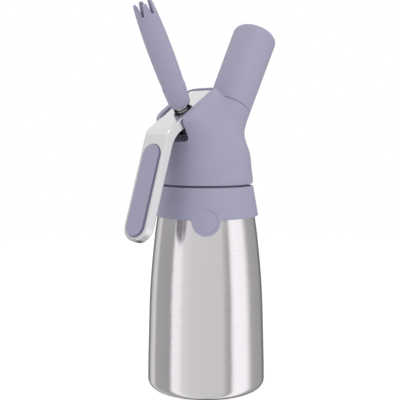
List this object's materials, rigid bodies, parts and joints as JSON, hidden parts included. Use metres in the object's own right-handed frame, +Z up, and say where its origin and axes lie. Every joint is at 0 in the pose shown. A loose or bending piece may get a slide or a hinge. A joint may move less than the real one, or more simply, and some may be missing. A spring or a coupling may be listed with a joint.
{
  "type": "whipped cream dispenser",
  "caption": "Whipped cream dispenser with a brushed metal bottle, lilac head, grip collar, squeeze lever, toothed decorator tip and screw-on charger holder.",
  "frame": {"origin": "centre of the bottle's standing ring, on the table", "axes": "+Z up along the bottle's axis; -X toward the lever and the decorator tip, +X toward the charger holder; +Y completes the right-handed frame"},
  "size_m": [0.1176, 0.07, 0.2236],
  "materials": {
    "bottle_steel": "fine circumferential brushing",
    "lilac_plastic": "smooth moulded, soft sheen",
    "pad_plastic": "smooth moulded, soft sheen",
    "lever_steel": "satin, bright edges",
    "cast_core": "machined",
    "steel_parts": "turned",
    "spring_steel": "drawn wire",
    "brass_parts": "turned",
    "dark_rubber": "matt",
    "white_silicone": "matt",
    "charger_steel": "zinc-plated, satin"
  },
  "bodies": {
    "bottle": {"bottle": "bottle_steel", "grip_collar": "lilac_plastic"},
    "gasket": {"head_gasket": "white_silicone"},
    "head": {"head_housing": "lilac_plastic", "head_core": "cast_core", "lever_pin": "steel_parts", "valve_bush": "brass_parts", "stem_seal": "dark_rubber", "valve_spring": "spring_steel", "piercer": "brass_parts", "piercing_pin": "steel_parts", "piercer_gasket": "dark_rubber", "check_sleeve": "dark_rubber"},
    "lever": {"lever": "lever_steel", "lever_pad": "pad_plastic"},
    "valve": {"valve_stem": "steel_parts", "valve_seal": "dark_rubber", "tip_adapter": "steel_parts"},
    "tip_ring": {"tip_seal": "dark_rubber"},
    "tip": {"decorator_tip": "lilac_plastic"},
    "charger": {"gas_charger": "charger_steel"},
    "holder": {"charger_holder": "lilac_plastic", "holder_liner": "steel_parts"}
  },
  "joints": [
    {"name": "head_rise", "type": "slide", "parent": "bottle", "child": "gasket", "axis": [0, 0, 1], "range_m": [0, 0.012]},
    {"name": "head_turn", "type": "hinge", "parent": "gasket", "child": "head", "pos_m": [0, 0, 0.136], "axis": [0, 0, 1], "range_deg": [0, 1080]},
    {"name": "lever_squeeze", "type": "hinge", "parent": "head", "child": "lever", "pos_m": [-0.008, 0, 0.1669], "axis": [0, -1, 0], "range_deg": [0, 9], "stiffness_Nm_per_rad": 0.35, "springref_deg": -28.65},
    {"name": "valve_push", "type": "slide", "parent": "head", "child": "valve", "axis": [0.4822, 0, -0.8761], "range_m": [0, 0.00188], "deforming": ["valve_spring"]},
    {"name": "tip_rise", "type": "slide", "parent": "valve", "child": "tip_ring", "axis": [-0.4822, 0, 0.8761], "range_m": [0, 0.008]},
    {"name": "tip_turn", "type": "hinge", "parent": "tip_ring", "child": "tip", "pos_m": [-0.02215, 0, 0.16796], "axis": [-0.4822, 0, 0.8761], "range_deg": [0, 1440]},
    {"name": "charger_rise", "type": "slide", "parent": "head", "child": "charger", "axis": [0.4894, 0, 0.8721], "range_m": [0, 0.0132]},
    {"name": "holder_turn", "type": "hinge", "parent": "charger", "child": "holder", "pos_m": [0.021, 0, 0.16744], "axis": [0.4894, 0, 0.8721], "range_deg": [0, 1440]}
  ],
  "couplings": [
    {"joint": "head_rise", "follows": "head_turn", "m_per_rad": 0.00063662},
    {"joint": "valve_push", "follows": "lever_squeeze", "m_per_rad": 0.011881},
    {"joint": "tip_turn", "follows": "tip_rise", "rad_per_m": 3141.6},
    {"joint": "holder_turn", "follows": "charger_rise", "rad_per_m": 1904}
  ]
}
